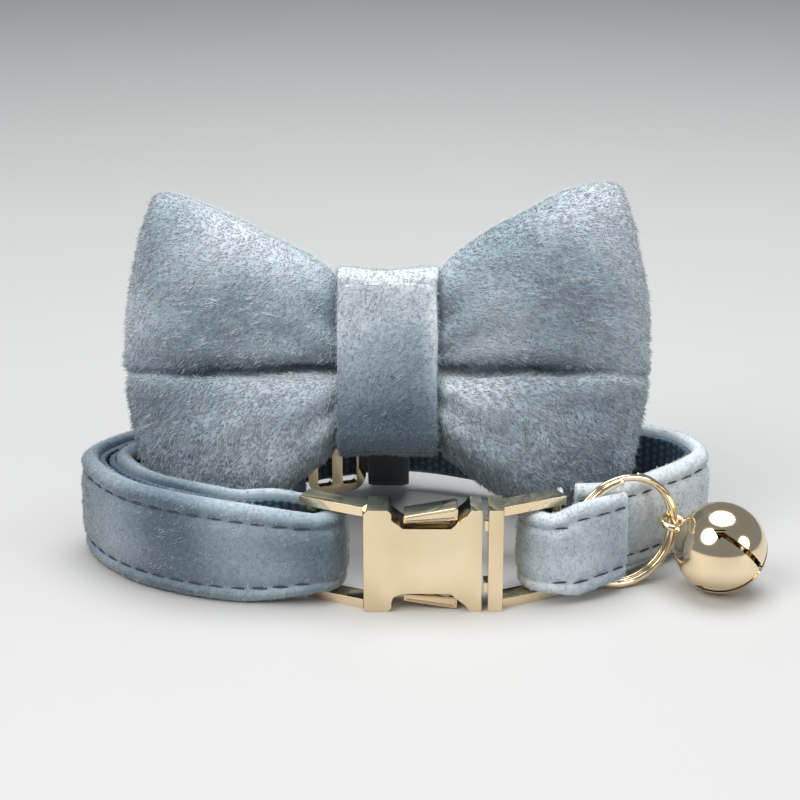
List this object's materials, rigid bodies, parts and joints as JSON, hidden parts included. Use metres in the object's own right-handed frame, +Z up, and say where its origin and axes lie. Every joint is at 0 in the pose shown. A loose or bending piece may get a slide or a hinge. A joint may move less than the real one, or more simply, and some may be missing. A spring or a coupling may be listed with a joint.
{
  "type": "pet bow tie collar",
  "caption": "Velvet pet collar with a padded bow, a side-release buckle, a slider and a jingle bell on a split ring.",
  "frame": {"origin": "middle of the foot of the collar's box, on the surface that the collar stands on", "axes": "+X along the buckle towards the bell, +Y from the buckle towards the rear of the strap, +Z up"},
  "size_m": [0.0982, 0.0502, 0.053],
  "materials": {
    "velvet": "short-pile velvet",
    "webbing": "ribbed woven webbing",
    "elastic": "ribbed woven elastic",
    "gold": "polished pale gold plating"
  },
  "bodies": {
    "root": {"strap_velvet": "velvet", "strap_webbing": "webbing", "end_loop_velvet": "velvet", "end_loop_webbing": "webbing", "buckle_socket": "gold", "buckle_plug": "gold", "release_tip_upper": "gold", "release_tip_lower": "gold", "split_ring": "gold", "jingle_bell": "gold", "slider": "gold", "bow_wings": "velvet", "bow_knot": "velvet", "bow_elastic": "elastic"}
  },
  "joints": []
}
